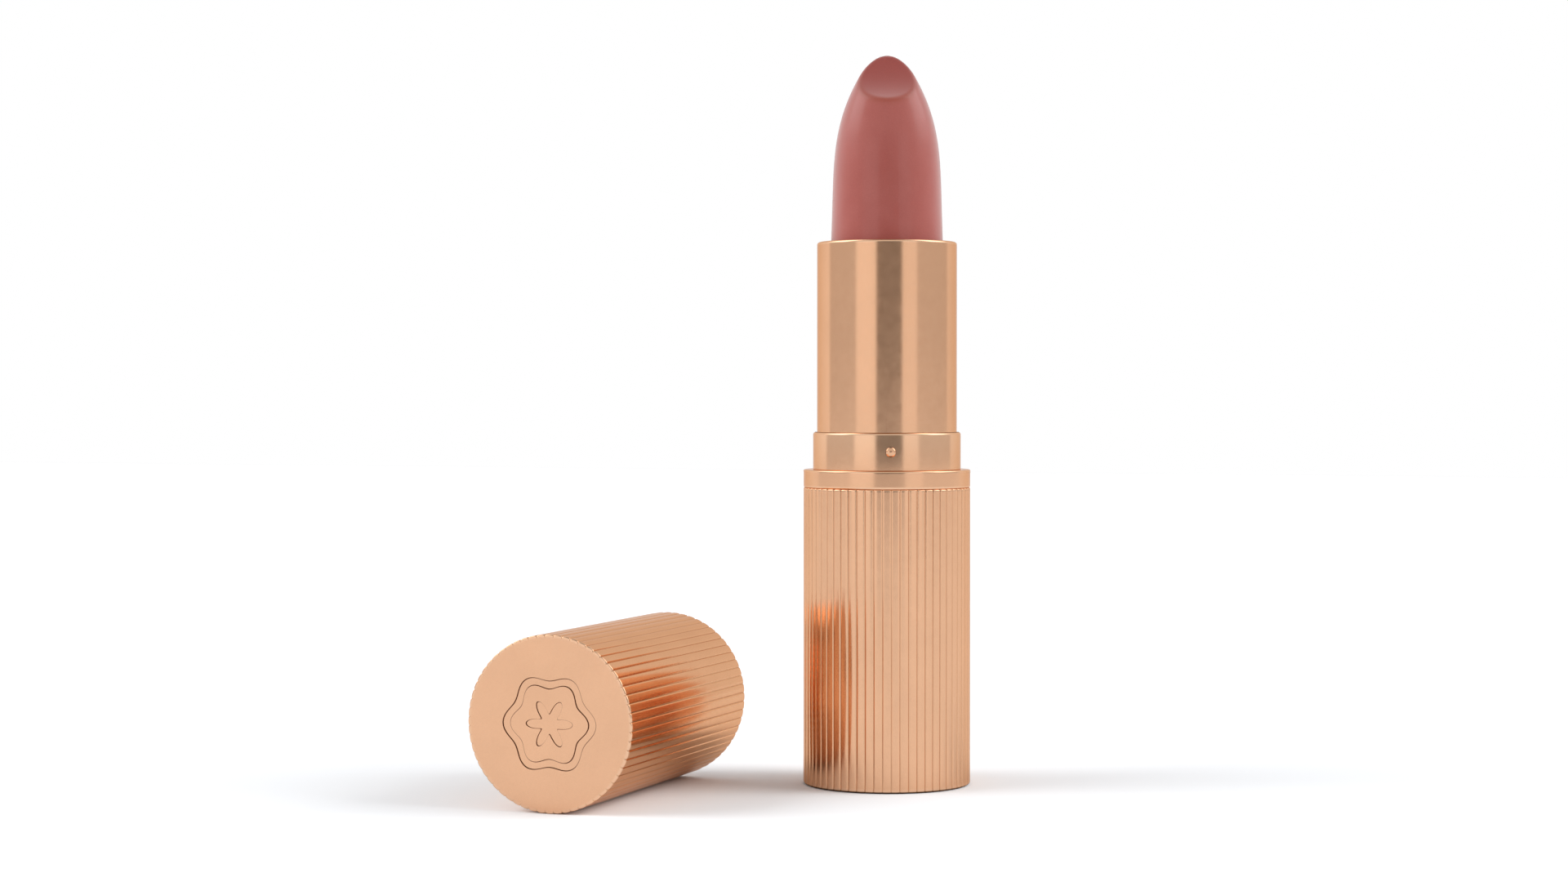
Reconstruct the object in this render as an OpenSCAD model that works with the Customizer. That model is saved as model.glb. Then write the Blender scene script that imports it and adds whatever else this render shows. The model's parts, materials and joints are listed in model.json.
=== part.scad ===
// Twist-up lipstick case, standing open with its cap lying beside it.
// Origin: centre of the foot, on the case's axis. +Z runs up the case, and the cap's axis runs along +Y.

/* [Case] */
// Outside diameter over the flute crests
case_d = 19; // [18.8:0.1:20]
// Height of the fluted base shell
base_h = 33.75; // [32:0.25:38]
// Height of the smooth shoulder band on top of the base shell
band_h = 2.05; // [1.5:0.05:3]
// Height of the collar above the band
collar_h = 4.25; // [3.5:0.05:5]
// Height of the upper sleeve above the collar
sleeve_h = 21.55; // [21:0.05:24]
// Wall of the base shell and the cap shell, measured from the flute crests
shell_wall = 0.55; // [0.45:0.05:0.6]
// Thickness of the closed end of the base shell and of the cap shell
end_wall = 0.8; // [0.6:0.1:1]

/* [Flutes] */
// Number of flutes round the base and the cap
flute_count = 60; // [48:4:72]
// Depth of the groove between two flutes
flute_depth = 0.13; // [0.08:0.01:0.16]
// Width of the groove between two flutes at the crests
flute_gap = 0.3; // [0.2:0.05:0.4]

/* [Mechanism] */
// Diameter of the lipstick bullet where it leaves the sleeve
bullet_d = 12.7; // [12.5:0.1:12.7]
// Rise of the bullet for one full turn of the sleeve
lead = 18; // [16:1:20]
// Full travel of the bullet, from wound down to fully raised
lift = 22.5; // [20:0.5:22.5]
// Radial gap between two pieces that turn or slide in each other
running_gap = 0.05; // [0.03:0.01:0.06]
// Diameter of the two lugs on the bullet cup
lug_d = 1.5; // [1.2:0.1:1.6]

/* [Snap beads] */
// Number of beads round the collar that hold the cap
bead_count = 3; // [2:1:6]
// Radius of the sphere that forms a bead
bead_r = 0.75; // [0.6:0.05:0.8]
// How far a bead stands out of the collar
bead_rise = 0.28; // [0.1:0.02:0.3]

/* [Cap] */
// Length of the cap, from its closed end to its mouth
cap_l = 33.4; // [32.5:0.1:36]
// Distance of the lying cap's axis from the case's axis, along -X
cap_side = 25.95; // [22:0.05:40]
// Distance of the cap's closed end in front of the case's axis, along -Y
cap_front = 35.6; // [20:0.1:60]

/* [Facing] */
// Direction that the slanted face of the bullet looks in, from +X
front_azimuth = -72; // [-180:1:180]
// Turn of the first snap bead away from that direction
bead_offset = 3; // [-60:1:60]

/* [Hidden] */
$fn = 96;
eps = 0.01;

// Radii, worked out from the bullet outwards and from the shell inwards
bullet_r = bullet_d / 2;
cup_r = bullet_r + 0.25;
guide_in_r = cup_r + running_gap;
guide_r = guide_in_r + 0.35;
spiral_in_r = guide_r + running_gap;
spiral_r = spiral_in_r + 0.55;
sleeve_r = spiral_r + 0.35;
collar_in_r = sleeve_r + running_gap;
collar_r = collar_in_r + 0.4;
collar_tail_r = collar_r - 0.1;
case_r = case_d / 2;
shell_in_r = case_r - shell_wall;
weight_r = 7.4;

// Heights up the case
band_top = base_h + band_h;
collar_top = band_top + collar_h;
sleeve_top = collar_top + sleeve_h;
liner_floor = base_h - 8.95;
collar_tail = base_h - 4.75;
sleeve_bottom = collar_top - 2.5;
lip_h = 0.5;
lip_gap = 0.1;
lip_r = bullet_r + 0.1;
spiral_top = sleeve_top - lip_h - lip_gap;
guide_top = spiral_top - 0.2;
guide_flange_h = 2;
washer_h = 0.45;
spiral_bottom = liner_floor + guide_flange_h + washer_h + running_gap;

// Bullet cup and its lugs, with the bullet fully raised
cup_h = 10;
cup_floor = 1;
cup_top = sleeve_top - lip_h - 0.6;
cup_bottom = cup_top - cup_h;
lug_z = cup_bottom + 1.2;
lug_reach = spiral_r - 0.22;
slot_w = lug_d + 0.1;
groove_r = spiral_r - 0.15;
groove_half = lug_d / 2 + 0.15;
groove_margin = 9;
groove_step = 6;

// Bullet outline: a drafted shaft that narrows along a power curve to a point cut off by the scoop
bullet_top = sleeve_top + 21.4;
ogive_start = sleeve_top + 4.9;
ogive_apex = sleeve_top + 24.2;
ogive_power = 3.2;
ogive_root = 1.4;
ogive_steps = 28;
draft = 0.03;

// Slanted face of the bullet: a shallow scoop between its lower edge and the tip, as [forward, height]
scoop_r = 20;
scoop_low = [4.6, bullet_top - 5.4];
scoop_tip = [-1.5, bullet_top];
scoop_half = norm(scoop_tip - scoop_low) / 2;
scoop_normal = [scoop_tip.y - scoop_low.y, scoop_low.x - scoop_tip.x] / (2 * scoop_half);
scoop_centre = (scoop_low + scoop_tip) / 2 + scoop_normal * sqrt(pow(scoop_r, 2) - pow(scoop_half, 2));

// Small edges and recesses
shell_chamfer = 0.15;
edge_round = 0.3;
label_r = 7.6;
label_h = 0.2;
bead_z = band_top + 2.1;
bead_centre_r = collar_r + bead_rise - bead_r;

// Cap
cap_weight_h = 2;
cap_floor = end_wall + cap_weight_h;
cap_liner_wall = 0.8;
cap_bore_r = sleeve_r + 0.2;
cap_mouth_r = collar_r + running_gap;
cap_mouth_l = collar_h + 0.15;
cap_liner_recess = 0.2;
cap_groove_r = collar_r + bead_rise + 0.04;
cap_groove_w = 1.4;

// Sunk rosette on the cap's closed end: a lobed band round a small flower, as [mean radius, swing]
rosette_lobes = 6;
rosette_band_outer = [5, 0.4];
rosette_band_inner = [4.1, 0.4];
rosette_flower = [1.9, 0.8];
rosette_step = 4;
rosette_depth = 0.12;

rose_metal = [0.90, 0.69, 0.56];
wax = [0.64, 0.35, 0.32];
inner_plastic = [0.86, 0.78, 0.72];

// A tube or, with no inner radius, a disc, between two heights
module ring(outer_r, inner_r, bottom, top) {
    translate([0, 0, bottom])
        difference() {
            cylinder(r = outer_r, h = top - bottom);
            if (inner_r > 0)
                translate([0, 0, -eps]) cylinder(r = inner_r, h = top - bottom + 2 * eps);
        }
}

// The outline of a fluted shell, with a V-shaped groove between each two flutes
module fluted_outline() {
    difference() {
        circle(r = case_r);
        for (i = [0 : flute_count - 1])
            rotate((i + 0.5) * 360 / flute_count)
                polygon([
                    [case_r - flute_depth, 0],
                    [case_r + eps, -flute_gap / 2],
                    [case_r + eps, flute_gap / 2]
                ]);
    }
}

// A fluted cup, closed at the bottom, with a chamfer round each end
module fluted_cup(height) {
    difference() {
        intersection() {
            linear_extrude(height = height) fluted_outline();
            rotate_extrude()
                polygon([
                    [0, 0],
                    [case_r - shell_chamfer, 0],
                    [case_r + eps, shell_chamfer + eps],
                    [case_r + eps, height - shell_chamfer - eps],
                    [case_r - shell_chamfer, height],
                    [0, height]
                ]);
        }
        translate([0, 0, end_wall]) cylinder(r = shell_in_r, h = height);
    }
}

// A bar of rectangular section that climbs round the axis between two angles
module helix_bar(inner_r, outer_r, half_h, from_angle, to_angle) {
    steps = ceil((to_angle - from_angle) / groove_step);
    corners = [[inner_r, -half_h], [outer_r, -half_h], [outer_r, half_h], [inner_r, half_h]];
    points = [
        for (i = [0 : steps])
            let (a = from_angle + (to_angle - from_angle) * i / steps)
                for (c = corners) [c[0] * cos(a), c[0] * sin(a), c[1] + lead * a / 360]
    ];
    sides = [
        for (i = [0 : steps - 1], k = [0 : 3])
            [4 * i + k, 4 * i + (k + 1) % 4, 4 * i + 4 + (k + 1) % 4, 4 * i + 4 + k]
    ];
    ends = [[3, 2, 1, 0], [4 * steps, 4 * steps + 1, 4 * steps + 2, 4 * steps + 3]];
    polyhedron(points = points, faces = concat(sides, ends));
}

// The radius of the bullet at a height, before the scoop is cut
function shaft_r(z) = bullet_r - draft * max(z - sleeve_top, 0);
function ogive_share(z) = min(max((z - ogive_start) / (ogive_apex - ogive_start), 0), 1);
function bullet_radius(z) = shaft_r(z) * pow(1 - pow(ogive_share(z), ogive_power), ogive_root);

// A closed outline whose radius swings in and out with the rosette's lobes
module lobed_outline(radius_and_swing) {
    polygon([
        for (a = [0 : rosette_step : 360 - rosette_step])
            let (r = radius_and_swing[0] + radius_and_swing[1] * cos(rosette_lobes * a))
                [r * cos(a), r * sin(a)]
    ]);
}

// The areas of the cap's closed end that are sunk: the lobed band and the flower
module rosette() {
    difference() {
        lobed_outline(rosette_band_outer);
        lobed_outline(rosette_band_inner);
    }
    lobed_outline(rosette_flower);
}

// Lays an upright cap piece on its side, with its closed end towards -Y
module lay_cap() {
    translate([-cap_side, -cap_front, case_r]) rotate([-90, 0, 0]) children();
}

module base_shell() {
    color(rose_metal)
        difference() {
            fluted_cup(base_h);
            translate([0, 0, -eps]) cylinder(r = label_r, h = label_h + eps);
        }
}

module base_liner() {
    color(inner_plastic) {
        ring(shell_in_r, weight_r, end_wall, liner_floor - 1);
        ring(shell_in_r, 0, liner_floor - 1, liner_floor);
        ring(shell_in_r, collar_in_r, liner_floor, collar_tail);
        ring(shell_in_r, collar_tail_r, collar_tail, base_h);
    }
}

module base_weight() {
    color("silver") ring(weight_r, 0, end_wall, end_wall + 10);
}

module foot_label() {
    color("ivory") ring(label_r, 0, 0, label_h);
}

module shoulder_ring() {
    color(rose_metal)
        rotate_extrude()
            polygon([
                [collar_tail_r, base_h],
                [case_r - shell_chamfer, base_h],
                [case_r, base_h + shell_chamfer],
                [case_r, band_top - shell_chamfer / 2],
                [case_r - shell_chamfer / 2, band_top],
                [collar_tail_r, band_top]
            ]);
}

module snap_collar() {
    color(rose_metal)
        difference() {
            union() {
                ring(collar_tail_r, 0, collar_tail, band_top);
                rotate_extrude() {
                    translate([0, band_top]) square([collar_r, collar_h - edge_round]);
                    translate([0, band_top]) square([collar_r - edge_round, collar_h]);
                    translate([collar_r - edge_round, collar_top - edge_round]) circle(r = edge_round);
                }
                for (i = [0 : bead_count - 1])
                    rotate(front_azimuth + bead_offset + i * 360 / bead_count)
                        translate([bead_centre_r, 0, bead_z]) sphere(r = bead_r);
            }
            translate([0, 0, collar_tail - eps]) cylinder(r = collar_in_r, h = collar_top);
        }
}

module guide_tube() {
    color(inner_plastic)
        difference() {
            union() {
                ring(collar_in_r, 0, liner_floor, liner_floor + guide_flange_h);
                ring(guide_r, 0, liner_floor, guide_top);
                ring(guide_r + 0.25, 0, guide_top - 0.6, guide_top);
            }
            translate([0, 0, liner_floor + 1.2]) cylinder(r = guide_in_r, h = guide_top);
            translate([-collar_r, -slot_w / 2, lug_z - lift - lug_d / 2 - 0.1])
                cube([2 * collar_r, slot_w, lift + lug_d + 0.2]);
        }
}

module drag_washer() {
    color("dimgray")
        ring(spiral_r - 0.05, guide_r, liner_floor + guide_flange_h, spiral_bottom - running_gap);
}

module upper_sleeve() {
    color(rose_metal)
        difference() {
            rotate_extrude() {
                translate([0, sleeve_bottom]) square([sleeve_r, sleeve_top - sleeve_bottom - edge_round]);
                translate([0, sleeve_bottom]) square([sleeve_r - edge_round, sleeve_top - sleeve_bottom]);
                translate([sleeve_r - edge_round, sleeve_top - edge_round]) circle(r = edge_round);
            }
            translate([0, 0, sleeve_bottom - eps])
                cylinder(r = spiral_r, h = sleeve_top - lip_h - sleeve_bottom + eps);
            cylinder(r = lip_r, h = sleeve_top + 1);
        }
}

module spiral_sleeve() {
    color("white")
        difference() {
            union() {
                ring(spiral_r, 0, spiral_bottom, spiral_top);
                ring(sleeve_r - 0.05, 0, sleeve_bottom - 1, sleeve_bottom);
            }
            translate([0, 0, spiral_bottom - eps]) cylinder(r = spiral_in_r, h = sleeve_top);
            translate([0, 0, guide_top - 0.7]) cylinder(r = guide_r + 0.35, h = sleeve_top);
            for (start = [0, 180])
                rotate(start)
                    translate([0, 0, lug_z])
                        helix_bar(
                            spiral_in_r - 0.2, groove_r, groove_half,
                            -lift / lead * 360 - groove_margin, groove_margin
                        );
        }
}

module bullet_cup() {
    color("gainsboro")
        difference() {
            union() {
                ring(cup_r, 0, cup_bottom, cup_top);
                translate([-lug_reach, 0, lug_z])
                    rotate([0, 90, 0]) cylinder(d = lug_d, h = 2 * lug_reach);
            }
            translate([0, 0, cup_bottom + cup_floor]) cylinder(r = bullet_r, h = cup_h);
        }
}

module lipstick_bullet() {
    foot = cup_bottom + cup_floor;
    color(wax)
        difference() {
            rotate_extrude()
                polygon(concat(
                    [[0, foot], [bullet_r, foot], [bullet_r, sleeve_top]],
                    [
                        for (i = [0 : ogive_steps])
                            let (z = ogive_start + (ogive_apex - ogive_start) * i / ogive_steps)
                                [bullet_radius(z), z]
                    ]
                ));
            rotate(front_azimuth)
                translate([scoop_centre.x, 0, scoop_centre.y])
                    rotate([90, 0, 0]) cylinder(r = scoop_r, h = 4 * bullet_r, center = true);
        }
}

module cap_shell() {
    color(rose_metal)
        lay_cap()
            difference() {
                fluted_cup(cap_l);
                translate([0, 0, -eps]) linear_extrude(height = rosette_depth + eps) rosette();
            }
}

module cap_liner() {
    mouth = cap_l - cap_liner_recess;
    groove_z = cap_l - (bead_z - band_top);
    color(inner_plastic)
        lay_cap()
            difference() {
                ring(shell_in_r, 0, cap_floor, mouth);
                translate([0, 0, cap_floor + cap_liner_wall]) cylinder(r = cap_bore_r, h = cap_l);
                translate([0, 0, cap_l - cap_mouth_l]) cylinder(r = cap_mouth_r, h = cap_l);
                translate([0, 0, groove_z - cap_groove_w / 2])
                    cylinder(r = cap_groove_r, h = cap_groove_w);
            }
}

module cap_weight() {
    color("silver") lay_cap() ring(shell_in_r, 0, end_wall, cap_floor);
}

base_shell();
base_liner();
base_weight();
foot_label();
shoulder_ring();
snap_collar();
guide_tube();
drag_washer();
upper_sleeve();
spiral_sleeve();
bullet_cup();
lipstick_bullet();
cap_shell();
cap_liner();
cap_weight();
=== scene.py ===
"""Finished surfaces of a twist-up lipstick case, built around its packed frame.

Lengths in the property groups are in metres. Heights run up +Z from the foot, and the cap lies on its side with its
axis along +Y. Each piece is a surface of two parameters: one runs along a profile, the other round an axis.
"""

import json
import math

import bpy
import numpy as np
from bpy.props import FloatProperty, FloatVectorProperty, IntProperty, PointerProperty
from bpy.types import Operator, Panel, PropertyGroup
from mathutils import Euler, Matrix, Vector


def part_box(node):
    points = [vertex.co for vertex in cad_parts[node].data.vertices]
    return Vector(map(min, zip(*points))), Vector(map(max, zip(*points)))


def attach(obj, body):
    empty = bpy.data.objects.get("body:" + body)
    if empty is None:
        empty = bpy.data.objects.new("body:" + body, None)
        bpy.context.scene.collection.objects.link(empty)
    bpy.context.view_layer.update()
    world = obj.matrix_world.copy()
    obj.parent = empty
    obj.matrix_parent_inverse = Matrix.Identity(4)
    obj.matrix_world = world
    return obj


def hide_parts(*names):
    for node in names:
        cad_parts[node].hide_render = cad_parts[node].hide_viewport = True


bl_info = {
    "name": "Lipstick Case",
    "version": (1, 0, 0),
    "blender": (4, 5, 0),
    "location": "3D View > Sidebar > Lipstick Case",
    "description": "Builds the shells, the bullet and the finishes of a twist-up lipstick case",
    "category": "Add Mesh",
}

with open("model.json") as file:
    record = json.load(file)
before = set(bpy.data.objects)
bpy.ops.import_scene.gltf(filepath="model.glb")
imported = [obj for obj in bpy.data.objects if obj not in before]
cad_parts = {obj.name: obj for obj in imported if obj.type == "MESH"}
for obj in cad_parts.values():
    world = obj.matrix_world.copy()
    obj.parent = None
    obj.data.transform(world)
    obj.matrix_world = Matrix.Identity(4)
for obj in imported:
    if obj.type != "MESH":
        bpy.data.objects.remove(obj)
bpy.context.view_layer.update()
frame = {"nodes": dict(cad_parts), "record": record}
MM = 0.001
FADE = 0.25 * MM  # how far inwards the flutes fade out on an end face
COLLAR_STEP = 0.1 * MM  # how far the collar's tail steps in below the band's top
BEAD_ROOT = 0.25 * MM  # how deep a snap bead's back lies in the collar's wall


def mount_radius(name):
    """The radius that the record states for a round mount, in metres."""
    mounts = {m["name"]: m for m in frame["record"]["mounts"]}
    return mounts[name]["dims"]["r_mm"] * MM


def half_width(node):
    """The radius of a round node on the Z axis, from the nearer Y side of its box, where nothing stands out of it."""
    low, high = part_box(node)
    return min(high.y, -low.y)


def length_value(label, text, default):
    """A length that a user may change, in metres."""
    return FloatProperty(name=label, description=text, default=default, min=0, unit="LENGTH", precision=6)


def angle_value(label, text, degrees):
    """A turn or a direction that a user may change."""
    return FloatProperty(name=label, description=text, default=math.radians(degrees), subtype="ANGLE")


def plain_value(label, text, default, least=0):
    """A plain number that a user may change."""
    return FloatProperty(name=label, description=text, default=default, min=least)


def colour_value(label, text, default):
    """A colour that a user may change, as linear red, green and blue."""
    return FloatVectorProperty(name=label, description=text, default=default, min=0, max=1, subtype="COLOR")


# Sizes


class CaseFlutes(PropertyGroup):
    """The reeds and grooves that run along the base and the cap."""

    count: IntProperty(name="Flutes", description="Number of flutes round the case", default=60, min=12)
    columns: IntProperty(name="Columns", description="Mesh columns across one flute", default=14, min=6)
    groove_width: length_value("Groove width", "Width of the groove between two flutes", 0.24 * MM)
    groove_depth: length_value("Groove depth", "Depth of the groove below the flute's side", 0.06 * MM)
    crown: length_value("Crown", "How far a flute's sides lie below its middle", 0.04 * MM)


class CaseEdges(PropertyGroup):
    """The radii of the rounded edges, and walls that no box gives."""

    shell: length_value("Shell edge", "Radius of the fluted shells' edges", 0.16 * MM)
    foot: length_value("Foot edge", "Radius of the base's lower edge", 0.3 * MM)
    band: length_value("Band edge", "Radius of the shoulder band's edges", 0.18 * MM)
    collar: length_value("Collar edge", "Radius of the collar's top edge", 0.30 * MM)
    sleeve: length_value("Sleeve edge", "Radius of the sleeve's mouth", 0.28 * MM)
    plastic: length_value("Plastic edge", "Radius of the moulded edges", 0.12 * MM)
    end_wall: length_value("End wall", "Thickness of a shell's closed end", 0.8 * MM)
    sleeve_wall: length_value("Sleeve wall", "Thickness of the upper sleeve", 0.35 * MM)
    sleeve_lip: length_value("Sleeve lip", "Height of the rolled lip at the sleeve's mouth", 0.5 * MM)
    gap: length_value("Running gap", "Gap between two pieces that turn or slide in each other", 0.05 * MM)


class SnapBeads(PropertyGroup):
    """The small domes on the collar that hold the cap."""

    count: IntProperty(name="Beads", description="Number of beads round the collar", default=3, min=1)
    radius: length_value("Bead radius", "Radius of a bead where it meets the collar", 0.585 * MM)
    rise: length_value("Bead rise", "How far a bead stands out of the collar", 0.275 * MM)
    height: length_value("Bead height", "Height of the beads above the shoulder band", 2.1 * MM)
    azimuth: angle_value("First bead", "Direction of the first bead", -69)


class BulletShape(PropertyGroup):
    """The moulded wax bullet: a drafted shaft, a rounded point and a scooped slanted face."""

    azimuth: angle_value("Facing", "Direction of the slanted face", -72)
    draft: plain_value("Draft", "Narrowing of the shaft for its height", 0.03)
    point_start: length_value("Point start", "Height above the sleeve where the point begins", 4.9 * MM)
    point_apex: length_value("Point apex", "Height above the sleeve where the uncut point would end", 24.2 * MM)
    point_power: plain_value("Point power", "Fullness of the point", 3.2, least=1)
    point_root: plain_value("Point root", "Sharpness of the point", 1.4, least=0.5)
    scoop_radius: length_value("Scoop radius", "Radius of the slanted face's hollow", 19 * MM)
    low_forward: length_value("Low edge forward", "Distance of the face's low edge from the axis", 4.6 * MM)
    low_drop: length_value("Low edge drop", "Drop of the face's low edge below the tip", 5.75 * MM)
    tip_back: length_value("Tip back", "Distance of the tip behind the axis", 1.5 * MM)
    rim: length_value("Rim", "Rounding of the slanted face's rim", 0.32 * MM)


class CapEnd(PropertyGroup):
    """The sunk rosette on the cap's closed end: a lobed band round a small flower."""

    lobes: IntProperty(name="Lobes", description="Number of lobes", default=6, min=3)
    band_outer: length_value("Band outside", "Mean radius of the band's outer edge", 5.0 * MM)
    band_inner: length_value("Band inside", "Mean radius of the band's inner edge", 4.1 * MM)
    band_swing: length_value("Band swing", "How far the band swings in and out", 0.4 * MM)
    flower: length_value("Flower", "Mean radius of the flower", 1.9 * MM)
    flower_swing: length_value("Flower swing", "How far the flower's petals swing out", 0.8 * MM)
    depth: length_value("Depth", "Depth of the rosette", 0.12 * MM)


class CaseFinishes(PropertyGroup):
    """Colours of the case's materials."""

    metal: colour_value("Rose metal", "Plated metal of the shells", (0.86, 0.49, 0.295))
    metal_rim: colour_value("Rim", "Tint of the metal where it is seen edge-on", (0.86, 0.66, 0.52))
    # Painted shade: a dark metal drawn on the rosette's walls, round the beads' roots and along the foot's lower edge
    metal_painted_shade: colour_value("Sunk", "Metal on steep little walls, where no light falls", (0.16, 0.085, 0.055))
    # Painted shade: the grooves are drawn in a darker metal, standing in for the shade in them
    metal_groove_shade: colour_value("Groove", "Metal in the grooves, where less plating lies", (0.66, 0.36, 0.20))
    # Lighter metal along the rounded edges: partly wear, partly a painted highlight
    metal_edge_wear_and_highlight: colour_value("Edge", "Metal along polished edges", (0.95, 0.62, 0.41))
    wax: colour_value("Wax", "Lipstick wax", (0.338, 0.078, 0.063))
    wax_pale: colour_value("Pale wax", "Bloom on the wax", (0.385, 0.108, 0.090))
    # Painted shade: the slanted face and its rim are drawn in darker wax than the shaft
    wax_face_shade: colour_value("Wax face", "Wax on the smooth slanted face", (0.262, 0.049, 0.039))
    wax_rim_shade: colour_value("Wax rim", "Wax along the slanted face's rim", (0.28, 0.056, 0.036))
    liner: colour_value("Liner", "Moulded liners", (0.60, 0.42, 0.32))
    works: colour_value("Works", "Moulded parts of the mechanism", (0.72, 0.70, 0.66))
    steel: colour_value("Steel", "Zinc-plated weights", (0.56, 0.57, 0.58))
    silicone: colour_value("Silicone", "Drag washer", (0.05, 0.05, 0.055))
    film: colour_value("Film", "Blank label film", (0.80, 0.77, 0.70))
    floor: colour_value("Floor", "Studio floor in the light that it throws back", (0.765, 0.785, 0.81))
    floor_seen: colour_value("Floor seen", "Studio floor as the camera sees it", (0.93, 0.95, 0.975))


class CaseStudio(PropertyGroup):
    """The camera and the light round the case."""

    place: FloatVectorProperty(
        name="Camera", description="Place of the camera", default=(0.102635, -0.317139, 0.04481), unit="LENGTH"
    )
    azimuth: angle_value("Azimuth", "Turn of the camera round the case", 19.947)
    pitch: angle_value("Pitch", "How far the camera looks down", 0.998)
    lens: plain_value("Lens", "Focal length on a 36 mm sensor, in mm", 67.16, least=1)
    floor_size: length_value("Floor", "Width of the floor", 2.4)
    front: plain_value("Front", "Light from the dark gap behind the camera", 0.24)
    panel_left: plain_value("Left panel", "Light from the wide panel", 1.0)
    panel_right: plain_value("Right panel", "Light from the narrow panel", 0.92)
    sides: plain_value("Sides", "Light from the sides", 0.63)
    back: plain_value("Back", "Light from behind the case", 0.86)
    high_front: plain_value("High front", "Light from high in front", 0.75)
    high_sides: plain_value("High sides", "Light from high at the sides", 2.5)
    high_back: plain_value("High back", "Light from high behind the case", 0.8)
    overhead: plain_value("Overhead", "Light from straight above", 0.15)
    key: plain_value("Key", "Strength of each of the two wide lamps", 1.65)
    key_turn: angle_value("Key turn", "Turn of the lamps from the camera", 78)
    key_climb: angle_value("Key height", "Elevation of the lamps", 27)


# Profiles and surfaces


def rounded(corners, radii, hold=0.12 * MM, steps=5):
    """An outline through corners of (radius, height), with an arc of the given radius at each one.

    The arc's centre lies on the corner's bisector, and its ends are the points where the two straights touch the
    circle. One more point stands a short hold beyond each end, so that the straights stay flat when shaded smooth.
    Returns the outline's points and, for each, 1 on an arc and 0 on a straight.
    """
    corners = np.array(corners, float)
    points, on_arc = [corners[:1]], [[0.0]]
    for before, corner, after, radius in zip(corners[:-2], corners[1:-1], corners[2:], radii):
        to_before, to_after = before - corner, after - corner
        room = min(np.linalg.norm(to_before), np.linalg.norm(to_after))
        to_before, to_after = to_before / np.linalg.norm(to_before), to_after / np.linalg.norm(to_after)
        half = math.acos(np.clip(to_before @ to_after, -1, 1)) / 2
        reach = radius / math.tan(half)
        bisector = (to_before + to_after) / np.linalg.norm(to_before + to_after)
        centre = corner + bisector * radius / math.sin(half)
        first, last = corner + to_before * reach, corner + to_after * reach
        share = np.linspace(0, 1, steps + 1)[:, None]
        chord = first * (1 - share) + last * share - centre
        arc = centre + chord / np.linalg.norm(chord, axis=1)[:, None] * radius
        beyond = min(reach + hold, 0.49 * room) if reach < 0.45 * room else None
        if beyond:
            points.append([corner + to_before * beyond])
            on_arc.append([0.0])
        points.append(arc)
        on_arc.append(np.ones(steps + 1))
        if beyond:
            points.append([corner + to_after * beyond])
            on_arc.append([0.0])
    points.append(corners[-1:])
    on_arc.append([0.0])
    return np.concatenate(points), np.concatenate(on_arc)


def turned(radius, height, azimuth):
    """Points of a turned surface: radius times the azimuth's cosine and its sine for x and y, and the height for z."""
    radius, height, azimuth = np.broadcast_arrays(radius, height, azimuth)
    return np.stack([radius * np.cos(azimuth), radius * np.sin(azimuth), height], axis=-1)


def round_columns(count=192):
    """Azimuths evenly round a plain turned piece."""
    return np.arange(count) * 2 * math.pi / count


def laid_down(points):
    """The cap's points, turned from upright onto its side: its closed end towards -Y and its crest on the floor."""
    low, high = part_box("cap_shell")
    middle, lift = (low.x + high.x) / 2, (low.z + high.z) / 2
    x, y, z = points[..., 0], points[..., 1], points[..., 2]
    return np.stack([x + middle, z + low.y, lift - y], axis=-1)


def skin(points, poles=None):
    """Vertices and faces of a closed surface over a grid of rows and columns.

    Columns always close on themselves. Without poles, rows do so too, as in a ring. With two poles, each end is closed
    by a fan round its own. Every face's corners run the same way, and all are reversed if the enclosed volume comes out
    negative.
    """
    rows, columns = points.shape[:2]
    index = np.arange(rows * columns).reshape(rows, columns)
    beside = np.roll(index, -1, axis=1)
    below, below_beside = np.roll(index, -1, axis=0), np.roll(beside, -1, axis=0)
    last = rows if poles is None else rows - 1
    quads = np.stack([index, beside, below_beside, below], axis=-1)[:last].reshape(-1, 4)
    vertices = points.reshape(-1, 3)
    fans = np.empty((0, 3), int)
    if poles is not None:
        count = len(vertices)
        vertices = np.concatenate([vertices, poles])
        head = np.stack([np.full(columns, count), beside[0], index[0]], axis=-1)
        tail = np.stack([np.full(columns, count + 1), index[-1], beside[-1]], axis=-1)
        fans = np.concatenate([head, tail])
    triangles = np.concatenate([quads[:, [0, 1, 2]], quads[:, [0, 2, 3]], fans])
    a, b, c = (vertices[triangles[:, i]] for i in range(3))
    if np.einsum("ij,ij->i", a, np.cross(b, c)).sum() < 0:
        quads, fans = quads[:, ::-1], fans[:, ::-1]
    return vertices, quads, fans


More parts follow.
